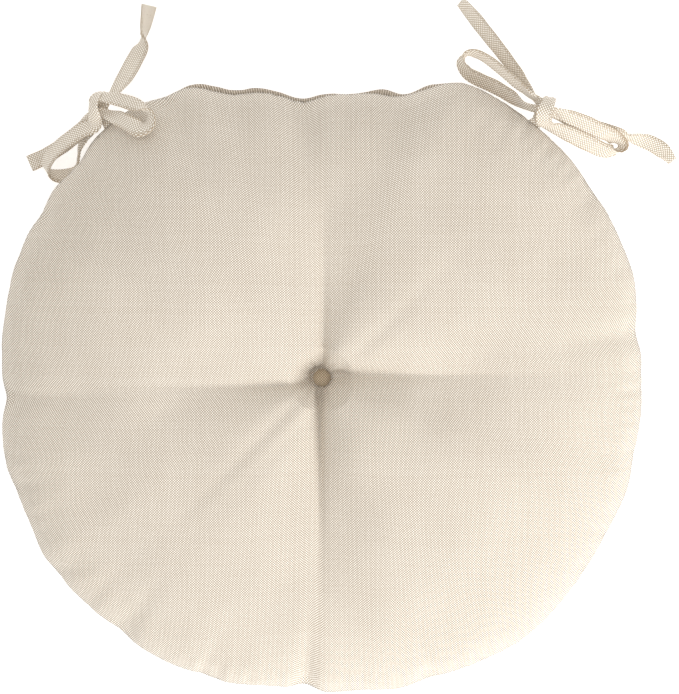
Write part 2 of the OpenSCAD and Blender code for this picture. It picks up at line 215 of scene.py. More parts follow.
def plain_weave(name, light, dark, pitch, bump=0.5, edge=0.0, pit_shade=0.0):
    """Plain weave: two sets of round threads that pass over and under each other.

    edge paints shade on the rounded, folded edges of a strap, and the last argument paints shade round the
    tuft, where the cloth lies in its hollow.
    """
    net = Net(name, 0.9, 0.2)
    vector, u, v = net.uv()
    cu, cv = net.math("DIVIDE", u, pitch * MM), net.math("DIVIDE", v, pitch * MM)
    iu, iv = net.math("FLOOR", cu), net.math("FLOOR", cv)
    along_v = net.times(net.plus(net.minus(cv, 0.5), iu), math.pi)
    along_u = net.times(net.plus(net.minus(cu, 0.5), iv), math.pi)
    warp = net.plus(net.math("COSINE", along_v), net.math("SINE", net.times(net.math("FRACT", cu), math.pi)))
    weft = net.minus(net.math("SINE", net.times(net.math("FRACT", cv), math.pi)), net.math("COSINE", along_u))
    # The colour follows the threads' height: painted shade in the gaps between them and painted light on the
    # warp floats.
    height = net.times(net.math("MAXIMUM", warp, weft), 0.5)
    float_light = net.times(net.minus(warp, weft), 0.5 * FLOAT_LIGHT)
    shade = net.plus(height, float_light)
    fibre = net.noise(vector, 900, 3)
    for value, share in ((net.random(iu), SLUB), (net.random(net.plus(iv, 0.37)), SLUB),
                         (fibre, 0.30), (net.noise(vector, 22, 3), 0.15)):
        shade = net.plus(shade, net.times(net.minus(value, 0.5), share))
    # Painted shade on a strap's rounded, folded edges, where they turn away from the light.
    if edge:
        past = net.math("MAXIMUM", net.minus(net.math("ABSOLUTE", u), EDGE_SHADE_FROM * MM), 0.0)
        shade = net.minus(shade, net.times(past, edge / MM))
    # Painted shade round the tuft, where the cloth lies in the hollow about the button.
    if pit_shade:
        square = net.plus(net.times(u, u), net.times(v, v))
        pit_shade_share = net.math("EXPONENT", net.times(square, -1 / (PIT_SHADE_R * MM) ** 2))
        shade = net.minus(shade, net.times(pit_shade_share, pit_shade))
    net.colour(net.ramp(shade, 0.05, 1.2, dark, light))
    net.bump(net.plus(height, net.times(fibre, 0.35)), bump, 0.0003)
    return net.material


def thread_material(name, light, dark, pitch):
    """Plied thread: slanted ridges along its length."""
    net = Net(name, 0.7, 0.2)
    vector, u, v = net.uv()
    twist = net.math("SINE", net.times(net.plus(u, v), 2 * math.pi / (pitch * MM)))
    fuzz = net.noise(vector, 2600, 2)
    height = net.plus(twist, fuzz)
    # The colour follows the ridges: painted shade in the grooves between the plies.
    net.colour(net.ramp(height, -0.6, 1.6, dark, light))
    net.bump(height, 0.5, 0.0001)
    return net.material


canvas = plain_weave("canvas_weave", linear(255, 251, 242), linear(150, 130, 105), 0.85, pit_shade=0.25)
# The underside is the pad's canvas painted darker: painted shade for the lower panel's lip, which lies under
# the top panel's rim.
canvas_under_shaded = plain_weave("canvas_underside_shaded", linear(246, 236, 222), linear(138, 119, 96), 0.85)
strap_weave = plain_weave("strap_weave", linear(255, 252, 244), linear(172, 153, 128), 0.95, bump=0.4,
                          edge=0.5)
# The button's cloth is the pad's canvas painted darker: painted shade of the hollow round the tuft.
button_weave_shaded = plain_weave("button_weave_shaded", linear(206, 189, 163), linear(104, 86, 63), 0.85, bump=0.4)
# Painted shade: this thread is coloured darker than the seam thread, standing in for the shadows of the
# stitch holes along it.
stitch_thread_shaded = thread_material("stitch_thread_shaded", linear(228, 216, 196), linear(176, 159, 135), 0.5)
seam_thread = thread_material("seam_thread", linear(240, 232, 217), linear(198, 184, 163), 0.5)
waxed_twine = thread_material("waxed_twine", linear(214, 199, 172), linear(160, 143, 115), 1.4)


def wadding():
    net = Net("wadding", 0.95, 0.3)
    at = net.object_coords()
    strands = net.noise(at, 240, 6, 0.75)
    clumps = net.noise(at, 38, 3)
    both = net.plus(strands, net.times(clumps, 0.5))
    net.colour(net.ramp(both, 0.45, 1.1, linear(224, 223, 218), linear(250, 250, 247)))
    net.bump(strands, 0.8, 0.0015)
    return net.material


def pressed_metal():
    net = Net("pressed_metal", 0.38, 0.0, 1.0)
    at = net.object_coords()
    grain = net.noise(at, 1800, 4, 0.7)
    net.colour(net.ramp(grain, 0.3, 0.75, linear(150, 150, 153), linear(205, 205, 208)))
    net.bump(grain, 0.15, 0.00005)
    return net.material


def paper_floor():
    net = Net("paper_floor", 0.9)
    at = net.object_coords()
    grain = net.noise(at, 60, 4)
    net.colour(net.ramp(grain, 0.2, 0.8, (0.90, 0.90, 0.90), (0.94, 0.94, 0.94)))
    net.shader.inputs["Emission Color"].default_value = (1, 1, 1, 1)
    net.shader.inputs["Emission Strength"].default_value = 0.42
    return net.material


def finish_node(name, material):
    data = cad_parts[name].data
    data.materials.clear()
    data.materials.append(material)


floor_mesh = bpy.data.meshes.new("floor")
corners = [(-4, -4), (4, -4), (4, 4), (-4, 4)]
floor_mesh.from_pydata([(x, y, -0.0005) for x, y in corners], [], [(0, 1, 2, 3)])
floor = linked("floor", floor_mesh)
floor_mesh.materials.append(paper_floor())


# ------------ meshes

def read(items, field, width, kind=float):
    """An attribute of every item, one row each."""
    values = np.zeros(len(items) * width, kind)
    items.foreach_get(field, values)
    return values.reshape(-1, width)


def set_uvs(mesh, uvs):
    """Gives the mesh a UV layer from a pair per point, in metres."""
    loop_points = read(mesh.loops, "vertex_index", 1, int)[:, 0]
    layer = mesh.uv_layers.new(name="cloth")
    layer.data.foreach_set("uv", np.asarray(uvs, np.float32)[loop_points].ravel())


def make_piece(name, points, faces, material, uvs=None):
    """An object from points in millimetres and faces; uvs holds a pair per point, in metres."""
    mesh = bpy.data.meshes.new(name)
    mesh.from_pydata([tuple(p) for p in np.asarray(points, float) * MM], [],
                     [list(map(int, f)) for f in faces])
    if uvs is not None:
        set_uvs(mesh, uvs)
    mesh.polygons.foreach_set("use_smooth", [True] * len(mesh.polygons))
    mesh.materials.append(material)
    mesh.validate()
    return linked(name, mesh)


def tube_faces(rings, sides, start=0):
    """Quads between rings of a closed section, and one face as a cap at both ends."""
    faces = []
    for i in range(rings - 1):
        for j in range(sides):
            k = (j + 1) % sides
            p, q = start + i * sides, start + (i + 1) * sides
            faces.append((p + j, p + k, q + k, q + j))
    faces.append(tuple(start + j for j in reversed(range(sides))))
    faces.append(tuple(start + (rings - 1) * sides + j for j in range(sides)))
    return faces


def unit(v):
    v = np.asarray(v, float)
    return v / np.linalg.norm(v, axis=-1, keepdims=True)


def stitches(name, line, up, pitch, length, radius, material):
    """Short threads along a line. Each one rises out of the cloth and dips back into it."""
    line, up = np.asarray(line, float), np.asarray(up, float)
    reach = np.r_[0, np.cumsum(np.linalg.norm(np.diff(line, axis=0), axis=1))]
    at = lambda s, rows: np.array([np.interp(s, reach, rows[:, k]) for k in range(3)])
    points, faces, uvs = [], [], []
    rings, sides = 6, 6
    for n in range(int((reach[-1] - length) / pitch)):
        s0 = pitch * (n + 0.5)
        base = len(points)
        for i in range(rings):
            t = i / (rings - 1)
            s = s0 + t * length
            centre, nn = at(s, line), unit(at(s, up))
            ahead = unit(at(min(s + 0.1, reach[-1]), line) - at(max(s - 0.1, 0), line))
            side = unit(np.cross(nn, ahead))
            arch = math.sin(math.pi * t)
            r = radius * (0.55 + 0.45 * arch)
            centre = centre + nn * (radius * (1.5 * arch - 0.5))
            for j in range(sides):
                w = 2 * math.pi * j / sides
                points.append(centre + side * r * math.cos(w) + nn * r * math.sin(w))
                uvs.append((s * MM, j / sides * 2 * math.pi * radius * MM))
        faces += [f[::-1] for f in tube_faces(rings, sides, base)]
    return make_piece(name, points, faces, material, uvs)


# ------------ outline of the pad

PAD_R = 202.5             # mean distance of the round part of the seam from the tuft
BACK_R = 175              # distance of the back edge from the tuft
OPENING = (68, 114)       # the stuffing opening in the back edge, closed by hand, from angle to angle
LIP_DROP = 0.4            # the lower panel's lip slopes down by this share of its width


def angle_from(a, middle):
    """The turn from middle to a, between -180 and 180."""
    return (a - middle + 180) % 360 - 180


def bell(x, width):
    return np.exp(-(x / width) ** 2)


def on_circle(r, a):
    """x and y of the points at distance r and angle a, in columns."""
    return np.stack([r * np.cos(np.radians(a)), r * np.sin(np.radians(a))], 1)


def polar(x, y):
    return np.hypot(x, y), np.degrees(np.arctan2(y, x)) % 360


def lobed_r(a):
    return PAD_R - 2.8 * np.cos(np.radians(4 * a))


def rim_r(a):
    """The CAD outline: distance of the seam from the tuft at angle a."""
    a = np.asarray(a, float) % 360
    back = np.minimum(BACK_R + 0.046 * (a - 90) ** 2, lobed_r(a) + 60)
    return -2 * np.log(np.exp(-lobed_r(a) / 2) + np.exp(-back / 2))


def lip(a):
    """How far the lower panel shows past the seam along the closed stuffing opening."""
    a = np.asarray(a, float) % 360
    return np.where(a < 180, 3.0 * np.maximum(0, 1 - ((a - 91) / 27) ** 8), 0)


def lip_shown(a):
    """The lip where the cloth of the closed opening wanders: wide, narrow and hidden in turn."""
    a = np.asarray(a, float) % 360
    wide = 0 * a
    for at, share, width in ((111, 1.25, 4.5), (102, 0.85, 5), (93, 0.6, 4.5), (77.5, 1.1, 3), (70, 0.8, 2)):
        wide = wide + share * bell(a - at, width)
    return lip(a) * np.minimum(wide, 1.25)


def pivot(a):
    """Where the straps of the bow at angle a leave the seam."""
    r = float(rim_r(a)) + PIVOT_OUT
    return np.array([r * math.cos(math.radians(a)), r * math.sin(math.radians(a)) + TUFT_Y, 0])


# ------------ straps

# The points of the CAD's routes: the strap's middle x, y and z, the direction of its width x, y and z,
# and its width as a share of TIE_W, which is a little less or more than the CAD's where the cloth is
# gathered or spread. z counts from the seat, and x and y from the pivot.
LEFT_FIRST = [
    [-0.6, 0.8, 36.7, 0.77, 0.64, 0, 0.7], [-3.7, 5.2, 36, 0.8, 0.6, 0, 0.6],
    [-7.5, 9, 37.5, 0.7, 0.7, 0.2, 0.6], [-9.4, 13.3, 41, 0.6, -0.2, 0.75, 0.6],
    [-6.2, 16.1, 44, 0.3, -0.5, 0.8, 0.7], [1.9, 15.4, 47.5, 0.2, -0.7, 0.65, 0.9],
    [11.9, 13.2, 51.5, 0.3, -0.75, 0.55, 1], [20.6, 10, 55, 0.5, -0.6, 0.6, 1],
    [26.6, 5, 58.5, 0.6, -0.4, 0.7, 1], [26.8, -0.8, 60.5, 0.5, -0.5, 0.7, 1],
    [21.8, -3.4, 60.5, 0.45, -0.7, 0.5, 1.05], [15.2, -1, 57, 0.45, -0.8, 0.35, 1.1],
    [8.1, 2.4, 51, 0.45, -0.75, 0.45, 1], [1.2, 4.6, 45.5, 0.4, -0.7, 0.6, 0.7],
    [-4.4, 6.4, 41.5, 0.3, -0.9, 0.3, 0.6], [-9.4, 3.9, 38, 0.5, -0.8, 0, 0.7],
    [-15.6, -3.6, 31, 0.5, -0.8, 0, 0.9], [-25, -11.7, 21.5, 0.55, -0.8, 0, 1],
    [-35, -18.5, 11, 0.4, -0.9, 0, 1], [-43, -23, 4, 0.3, -0.95, 0, 1],
    [-51.8, -27, 1.6, 0.3, -0.95, 0, 1],
]
LEFT_SECOND = [
    [-0.6, 0.8, 35.3, 0.77, 0.64, 0, 0.7], [-3.1, 7, 33, 0.9, 0.4, 0, 0.7],
    [-4.4, 13.9, 33.5, 1, 0.1, 0, 0.7], [-4.4, 18.3, 38.5, 1, 0.1, 0, 0.7],
    [-6.6, 15.8, 45, 0.85, 0.25, 0.45, 0.8], [-8.2, 9.5, 47.8, 0.75, 0.3, 0.6, 0.75],
    [-7.4, 3, 46, 0.75, 0.35, 0.55, 0.85], [-8.5, -2, 40.5, 0.8, 0, 0.5, 0.9],
    [-15.6, -4.8, 36.5, 0.5, -0.75, 0.45, 1], [-25, -11, 33, 0.5, -0.75, 0.45, 1],
    [-33.7, -18, 26.5, 0.5, -0.75, 0.45, 1], [-39.3, -24.8, 18, 0.5, -0.7, 0.5, 1],
    [-40.6, -30.4, 12, 0.5, -0.7, 0.5, 1], [-35.6, -34, 8.5, 0.4, -0.75, 0.5, 1],
    [-28, -34, 8, 0.3, -0.75, 0.6, 1], [-21.8, -30.4, 10.5, 0.2, -0.5, 0.85, 1],
    [-20, -23.5, 15.5, 0.1, -0.3, 0.95, 1], [-18.6, -16.2, 21.5, 0.2, -0.3, 0.93, 1],
    [-14.2, -9.4, 28, 0.3, -0.4, 0.85, 0.9], [-8.2, -2.2, 34, 0.5, -0.4, 0.7, 0.7],
    [-3.7, 4.6, 39, 0.6, -0.2, 0.75, 0.6], [0, 12, 39.5, 0.6, 0, 0.8, 0.6],
    [5.6, 20.2, 35, 0.7, -0.3, 0.6, 0.9], [11.2, 29.5, 25, 0.8, -0.5, 0.2, 1],
    [15.6, 38.3, 14.5, 0.85, -0.5, 0, 1], [19, 45.5, 8.5, 0.75, -0.45, 0.45, 1],
    [20.4, 50.6, 6, 0.3, -0.2, 0.93, 1], [21.3, 56, 5.6, -0.45, 0.05, 0.88, 1],
    [22.6, 63.2, 4.9, -0.75, 0.08, 0.65, 1], [24.3, 72.6, 3.4, -0.92, 0.1, 0.35, 1],
]
RIGHT_FIRST = [
    [0.6, 0.8, 36.7, 0.77, -0.64, 0, 0.7], [2.5, 5.2, 35.8, 0.8, -0.6, 0, 0.6],
    [4.4, 9.5, 37, 0.7, -0.4, 0.4, 0.6], [2, 13.5, 40, 0.5, 0.3, 0.8, 0.7],
    [-3.4, 16.8, 40, 0.2, 0.2, 0.95, 0.9], [-11.2, 23.4, 38.5, 0.4, 0.35, 0.8, 1],
    [-20, 30.8, 36.5, 0.4, 0.35, 0.8, 1], [-28.7, 37.6, 34, 0.4, 0.35, 0.8, 1],
    [-36.8, 42, 31.5, 0.35, 0.4, 0.83, 1], [-43, 41.4, 28, 0.35, 0.4, 0.83, 1],
    [-45.5, 36.4, 25, 0.4, 0.5, 0.75, 1], [-42.4, 30.6, 22.5, 0.35, 0.65, 0.65, 1],
    [-35, 26.3, 21.5, 0.35, 0.75, 0.55, 1], [-25, 21.8, 23, 0.35, 0.75, 0.55, 1],
    [-15, 15.6, 28, 0.3, 0.7, 0.6, 1], [-6.6, 9.9, 35.5, 0.1, 0.5, 0.85, 0.8],
    [0.6, 8.2, 41.2, 0.1, 0.8, 0.5, 0.6], [7.5, 6.4, 41.5, 0.2, 0.8, 0.5, 0.6],
    [14.4, 4.6, 39, 0.3, 0.8, 0.4, 0.8], [26.2, 0.2, 32.5, 0.3, 0.9, 0.2, 1],
    [40.6, -4.8, 23, 0.3, 0.9, 0, 1], [51.8, -8, 14, 0.3, 0.8, 0.5, 1],
    [58, -9.2, 9.5, 0.2, 0.3, 0.93, 0.85], [65.5, -11.4, 6, 0.3, 0.8, 0.5, 0.9],
    [74.3, -14.2, 2.8, 0.4, 0.9, 0.05, 1], [82.4, -19.2, 1.8, 0.6, 0.8, 0, 1],
    [88.3, -25.6, 1.6, 0.65, 0.75, 0, 0.6],
]
RIGHT_SECOND = [
    [0.6, 0.8, 35.3, 0.77, -0.64, 0, 0.7], [3.1, 6.4, 32.5, 0.9, -0.3, 0, 0.7],
    [5.6, 11.4, 33, 1, -0.2, 0, 0.7], [8.6, 15, 38.5, 1, -0.2, 0, 0.7],
    [7.2, 12.4, 45.4, 1, -0.1, 0, 0.8], [4.4, 6.4, 48, 1, 0, 0, 1],
    [4.4, 0.2, 45, 0.95, 0.1, 0.2, 1], [7.5, -2, 40, 0.8, 0.3, 0.5, 0.9],
    [13.7, -4.2, 36, 0.35, 0.7, 0.6, 1.05], [23.7, -8.6, 32, 0.4, 0.8, 0.4, 1.1],
    [34.3, -13.8, 26.5, 0.4, 0.8, 0.4, 1.1], [43, -18, 21, 0.4, 0.8, 0.45, 1.05],
    [50, -18.5, 18.5, 0.3, 0.6, 0.7, 1.25], [53, -14.4, 20.5, 0.3, 0.5, 0.8, 1.4],
    [48.7, -9.2, 26, 0.35, 0.6, 0.7, 1.25], [40, -5.2, 32, 0.35, 0.75, 0.5, 1.1],
    [29.3, 0, 37, 0.35, 0.8, 0.45, 1.05], [19.3, 3.8, 41, 0.3, 0.75, 0.55, 1],
    [11.9, 7, 42.5, 0.2, 0.6, 0.75, 0.7], [5.2, 8.6, 41.5, 0.3, 0.5, 0.8, 0.5],
    [0, 13.2, 39, 0.3, 0.3, 0.9, 0.65], [-5, 21.4, 34.5, 0.4, 0.35, 0.8, 0.8],
    [-11.2, 29.5, 31, 0.55, 0.4, 0.7, 1], [-18, 38.9, 28, 0.6, 0.45, 0.65, 1],
    [-25, 48.2, 25, 0.65, 0.5, 0.55, 1], [-31.8, 57, 22, 0.7, 0.5, 0.5, 1],
    [-38.7, 65.7, 19, 0.7, 0.55, 0.45, 0.92], [-46.5, 74.8, 16, 0.65, 0.55, 0.5, 0.72],
]


def along(route, s):
    """Catmull-Rom through the rows, the end rows standing in past the ends."""
    n = len(route)
    i = min(int(s), n - 2)
    t = s - i
    a, b, c, d = (route[max(0, min(n - 1, k))] for k in (i - 1, i, i + 1, i + 2))
    square, cube = a - 2.5 * b + 2 * c - d / 2, 1.5 * b - a / 2 - 1.5 * c + d / 2
    return b + (c - a) * t / 2 + square * t * t + cube * t ** 3


STRAP_STEP = 1.0          # distance between two rings of a strap
HEM_L = 8.0               # the free end is turned over by this much
STITCH_IN = 3.6           # from a strap's middle to its edge stitching
PROFILE = 16              # points across one face of a strap
UNDERSIDE_V = 600         # the underside's UVs start this much further along the cloth
# Round a strap's section: the place across it, and 1 for the upper face or -1 for the lower.
SPREAD = np.concatenate([np.linspace(-1, 1, PROFILE), np.linspace(1, -1, PROFILE)])
FACE = np.concatenate([np.ones(PROFILE), -np.ones(PROFILE)])


def strap_rings(route, origin):
    """Evenly spaced rows of (middle, across, through, half width, distance) along the route."""
    route = np.array(route, float)
    route[:, :2] += origin[:2]
    fine = np.linspace(0, len(route) - 1, 3000)
    rows = np.array([along(route, s) for s in fine])
    reach = np.r_[0, np.cumsum(np.linalg.norm(np.diff(rows[:, :3], axis=0), axis=1))]
    count = int(round(reach[-1] / STRAP_STEP)) + 1
    dist = np.linspace(0, reach[-1], count)
    rows = np.array([np.interp(dist, reach, rows[:, k]) for k in range(7)]).T
    middle = rows[:, :3]
    ahead = unit(np.gradient(middle, axis=0))
    across = rows[:, 3:6] - (rows[:, 3:6] * ahead).sum(1)[:, None] * ahead
    across = unit(across)
    through = np.cross(ahead, across)
    return middle, across, through, rows[:, 6] * TIE_W / 2, dist


def edge_rounding(w):
    """Thickness of a folded edge at w from -1 to 1 across the strap, as a share."""
    return max(0.0, 1 - abs(w) ** 7) ** 0.4


def cupping(d, phase):
    """How a strap curls across its width at distance d along it."""
    return 0.35 * np.sin(d / 19 + phase) + 0.25 * np.sin(d / 7.3 + 2 * phase)


def strap_piece(name, route, origin, phase):
    """One strap from the seam to its hemmed end, and its rings."""
    middle, across, through, half, dist = strap_rings(route, origin)
    total = dist[-1]
    points, uvs = [], []
    for i in range(len(dist)):
        d = dist[i]
        squeeze = 1 - np.clip((half[i] * 2 / TIE_W - 0.55) / 0.45, 0, 1)   # bunched inside the knot
        hem = 1 / (1 + np.exp(-(d - (total - HEM_L)) / 0.5))
        turned = np.clip((abs(across[i][2]) - 0.88) / 0.1, 0, 1)           # crumpled where it lies on edge
        thick = TIE_T / 2 * (1 + 0.35 * squeeze + 1.5 * turned) + 0.22 * hem
        cup = float(cupping(d, phase)) * (1 - 0.5 * squeeze)
        ruffle = 0.14 * math.sin(d / 3.1 + phase) * math.sin(d / 11 + phase)
        pleat = 0.32 * squeeze
        width = half[i] * (1 + 0.03 * math.sin(d / 9 + phase) + 0.012 * math.sin(d / 2.3))
        end = np.clip((total - d) / 0.8, 0, 1)
        for w, side in zip(SPREAD, FACE):
            rounding = edge_rounding(w)
            groove = 0.3 * math.exp(-((abs(w) * half[i] - STITCH_IN) / 0.45) ** 2)
            h = side * max(0.12, thick * (0.18 + 0.82 * rounding) - groove) * (0.55 + 0.45 * end)
            h += cup * (w * w - 0.35) + ruffle * w ** 3 + pleat * math.sin(w * 5.5 + phase)
            p = middle[i] + across[i] * w * width + through[i] * h
            points.append(p)
            uvs.append((w * half[i] * MM, (d + UNDERSIDE_V * (side < 0)) * MM))
    points = np.array(points)
    points[:, 2] = np.maximum(points[:, 2], 0.15)
    piece = make_piece(name, points, tube_faces(len(dist), 2 * PROFILE), strap_weave, uvs)
    return piece, (middle, across, through, half, dist)


def strap_stitches(name, rings, phase):
    """Stitching along one edge, seen on both faces, and the row that closes the hem."""
    middle, across, through, half, dist = rings
    keep = (half > 4.2) & (dist > 6) & (dist < dist[-1] - 2)      # not where the strap is bunched
    made, runs, run = [], [], []
    for i, k in enumerate(keep):
        if k:
            run.append(i)
        elif run:
            runs.append(run)
            run = []
    if run:
        runs.append(run)
    for side in (1, -1):
        for run in runs:
            if len(run) < 6:
                continue
            i = np.array(run)
            w = STITCH_IN / half[i]
            lift = side * (TIE_T / 2 - 0.12) + cupping(dist[i], phase) * (w * w - 0.35)
            line = middle[i] + across[i] * STITCH_IN + through[i] * lift[:, None]
            made.append(stitches("run", line, through[i] * side, 2.8, 1.9, 0.22, stitch_thread_shaded))
        i = int(np.argmin(abs(dist - (dist[-1] - HEM_L + 2))))
        w = np.linspace(-0.85, 0.85, 12)[:, None] * half[i]
        line = middle[i] + across[i] * w + through[i] * side * (TIE_T / 2 + 0.12)
        made.append(stitches("hem", line, np.tile(through[i] * side, (12, 1)), 2.4, 1.6, 0.22, stitch_thread_shaded))
    return joined(name, made)


def joined(name, objects):
    """One object from several, with their UVs kept."""
    base = bmesh.new()
    for obj in objects:
        base.from_mesh(obj.data)
    mesh = bpy.data.meshes.new(name)
    base.to_mesh(mesh)
    base.free()
    for material in objects[0].data.materials:
        mesh.materials.append(material)
    for obj in objects:
        data = obj.data
        bpy.data.objects.remove(obj)
        bpy.data.meshes.remove(data)
    return linked(name, mesh)


# name, route, angle, body, length in metres, phase of its unevenness
STRAPS = [
    ("left_tie_first", LEFT_FIRST, LEFT_ANGLE, "left_bow", 0.179, 0.4),
    ("left_tie_second", LEFT_SECOND, LEFT_ANGLE, "left_bow", 0.264, 1.9),
    ("right_tie_first", RIGHT_FIRST, RIGHT_ANGLE, "right_bow", 0.247, 3.1),
    ("right_tie_second", RIGHT_SECOND, RIGHT_ANGLE, "right_bow", 0.253, 5.2),
]
for name, route, angle, body, length, phase in STRAPS:
    piece, rings = strap_piece(name + "_tape", route, pivot(angle), phase)
    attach(piece, body)
    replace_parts(piece, name + "_strap")
    thread = strap_stitches(name + "_topstitch", rings, phase)
    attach(thread, body)
    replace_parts(thread, name + "_edge_stitching")


def sewn_end(name, a, z):
    """The end of a strap inside the seam, narrowing as it leaves the rim towards the bow's pivot."""
    out = np.array([math.cos(math.radians(a)), math.sin(math.radians(a)), 0])
    side = np.array([-out[1], out[0], 0])
    tuft = np.array([0, TUFT_Y, 0])
    rim = float(rim_r(a))
    reach = np.linspace(rim - 9, rim + PIVOT_OUT + 1.6, 14)
    points, uvs = [], []
    for r in reach:
        share = np.clip((r - rim + 2) / (PIVOT_OUT + 3), 0, 1)
        half = TIE_W / 2 * (1 - 0.32 * share)
        for w, f in zip(SPREAD, FACE):
            h = f * TIE_T / 2 * (0.2 + 0.8 * edge_rounding(w))
            p = tuft + out * r + side * w * half
            p[2] = SEAM_Z + z + h
            points.append(p)
            uvs.append((w * half * MM, (r + UNDERSIDE_V * (f < 0)) * MM))
    piece = make_piece(name, points, tube_faces(len(reach), 2 * PROFILE), strap_weave, uvs)
    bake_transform(piece)
    return piece


SEWN_END_Z = 0.66         # the middles of the two sewn-in ends lie this far above and below the seam plane

for side, angle in (("left", LEFT_ANGLE), ("right", RIGHT_ANGLE)):
    upper = sewn_end(side + "_tie_first_sewn_end", angle, SEWN_END_Z)
    lower = sewn_end(side + "_tie_second_sewn_end", angle, -SEWN_END_Z)
    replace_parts(upper, side + "_tie_sewn_ends")
    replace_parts(lower, side + "_tie_sewn_ends")


# ------------ pad cloth

CELL = 7.0                # size of the simulated cloth's squares
CUT = 1.08                # the cut panel is this much larger than the finished pad
BACK_CUT = 181            # distance of the panel's straight back edge from the tuft, before CUT
TOP_CROWN, BOTTOM_CROWN = 41.0, 40.0    # how far the lobes rise above and below the seam plane
SEAT_TOP, SEAT_BOTTOM = 9.2, 7.2        # the same at the tuft, where the buttons sit
SEAT_R = 6.1              # radius of the cloth held under a button
RIM_GAP = 0.35            # how far each panel's rim stands off the seam plane
TIE_GAP, TIE_SPREAD = 1.3, 8.0          # extra where straps lie between the panels, and over what angle
ALLOWANCE = (1.2, 8.8)    # steps in which the seam allowance folds back

# Where the rim is drawn in (or bulges, if negative): angle, depth in mm, width in degrees.
NOTCHES = [
    (1, 1.2, 2), (8.5, 3.2, 2.8), (34, 1.8, 2.2), (73.5, 6, 4.2), (94, 4.6, 3.6), (109, 5.4, 6),
    (119, 4.6, 3.6), (140, 4.6, 5), (150, 3, 2.4), (158, 1.4, 2), (183.5, 4.2, 2), (200, 1.4, 2),
    (216, 0.9, 1.6), (231, 2.6, 2.4), (249, 1, 1.8), (262, 2.4, 4), (267, 7, 1.7), (290, 1.6, 2),
    (300, 1.2, 1.6), (323, 1.6, 2.2), (331, 0.8, 1.8), (346, 0.8, 1.8), (19, -1.8, 6), (27, -1, 4),
    (162, -1.2, 12), (195, -3.6, 8), (214, -2.6, 9), (240, -1.3, 9), (284, -1.6, 5), (306, -3, 13),
    (340, -1, 9)]


def rim_wave(a):
    """Inward and outward wander of the seam about the CAD outline."""
    a = np.asarray(a, float) % 360
    r = 0.5 * np.sin(np.radians(a * 23 + 40)) * np.sin(np.radians(a * 3))
    r = r + 0.4 * np.sin(np.radians(a * 41 + 10)) * np.sin(np.radians(a * 5 + 70)) + 0.6
    for at, depth, width in NOTCHES:
        r = r - depth * bell(angle_from(a, at), width)
    for tie in (LEFT_ANGLE, RIGHT_ANGLE):
        r = r * (1 - bell(angle_from(a, tie), 4.0))
    return r


def tie_opening(a):
    """How far each panel stands off the seam plane where the ends of two straps lie between them."""
    a = np.asarray(a, float) % 360
    return TIE_GAP * sum(bell(a - tie, TIE_SPREAD) for tie in (LEFT_ANGLE, RIGHT_ANGLE))


def seam_wave(a):
    """Rise and fall of the seam about its plane."""
    a = np.asarray(a, float)
    z = 0.8 * np.sin(np.radians(a * 2 + 30)) + 0.7 * np.sin(np.radians(a * 7 + 100))
    for tie in (LEFT_ANGLE, RIGHT_ANGLE):
        z = z * (1 - bell(angle_from(a, tie), 7.0))
    return z


def cut_r(a):
    """Outline of the flat panel before it is stuffed: a circle with a straight back edge."""
    a = np.asarray(a, float) % 360
    back = np.where((a > 5) & (a < 175), BACK_CUT / np.maximum(0.1, np.sin(np.radians(a))), 400)
    back = np.minimum(back, 290)
    return -3 * np.log(np.exp(-PAD_R / 3) + np.exp(-back / 3)) * CUT


def puffed(x, y, side):
    """Start of the simulation: where the CAD's shape holds the point x, y of the cut panel."""
    r, a = polar(x, y)
    rim = rim_r(a)
    share = np.minimum(1, r / cut_r(a))
    out = np.minimum(share * (rim + rim_wave(a)), r)
    u = np.minimum(1, out / rim)
    edge = np.maximum(0, 1 - share ** 3) ** 0.6
    crown, seat = (TOP_CROWN, SEAT_TOP) if side > 0 else (BOTTOM_CROWN, SEAT_BOTTOM)
    rise = 1 - np.exp(-np.maximum(0, out - SEAT_R) / 30)
    fold = 8 * (0.5 + 0.5 * np.cos(np.radians(4 * a))) ** 2 * np.sin(np.pi * u ** 0.7)
    h = edge * (seat + (crown - seat) * rise - np.where(out > SEAT_R, fold, 0))
    return np.column_stack([on_circle(out, a), side * h + seam_wave(a) * share ** 4])


def flat_panel():
    """Points and faces of the cut panel: squares along warp and weft, fitted to the outline."""
    count = int(2 * math.pi * 205 / CELL) // 4 * 4
    rim_a = np.arange(count) * 360 / count
    rim = on_circle(cut_r(rim_a), rim_a)
    k = int(240 / CELL)
    grid = np.array([(i * CELL, j * CELL) for i in range(-k, k + 1) for j in range(-k, k + 1)], float)
    r, a = polar(*grid.T)
    grid = grid[(r < cut_r(a) - 0.6 * CELL) & (np.abs(grid).max(1) > 3.2 * CELL)]
    fine = np.arange(-6, 7) * CELL / 2
    grid = np.vstack([grid, [(x, y) for x in fine for y in fine]])
    points = [Vector(p) for p in np.vstack([rim, grid])]
    edges = [(i, (i + 1) % count) for i in range(count)]
    verts, _, faces, origin, _, _ = delaunay_2d_cdt(points, edges, [], 1, 1e-4)
    bm = bmesh.new()
    made = [bm.verts.new((v.x, v.y, 0)) for v in verts]
    for f in faces:
        bm.faces.new([made[i] for i in f])
    bm.verts.index_update()
    bmesh.ops.join_triangles(bm, faces=bm.faces[:], angle_face_threshold=3.2,
                             angle_shape_threshold=math.radians(40))
    bm.normal_update()
    flat = np.array([v.co[:2] for v in bm.verts])
    polys = [[v.index for v in (f.verts if f.normal.z > 0 else reversed(f.verts))] for f in bm.faces]
    is_rim = np.array([any(o < count for o in origin[i]) for i in range(len(verts))])
    bm.free()
    return flat, polys, is_rim


flat, polys, is_rim = flat_panel()
n_flat = len(flat)
inner = np.flatnonzero(~is_rim)
under_index = np.arange(n_flat)
under_index[inner] = n_flat + np.arange(len(inner))


def cover_faces():
    """Faces of the closed cover: the top panel's, and the bottom panel's turned over, with one rim."""
    return polys + [[int(under_index[i]) for i in reversed(f)] for f in polys]


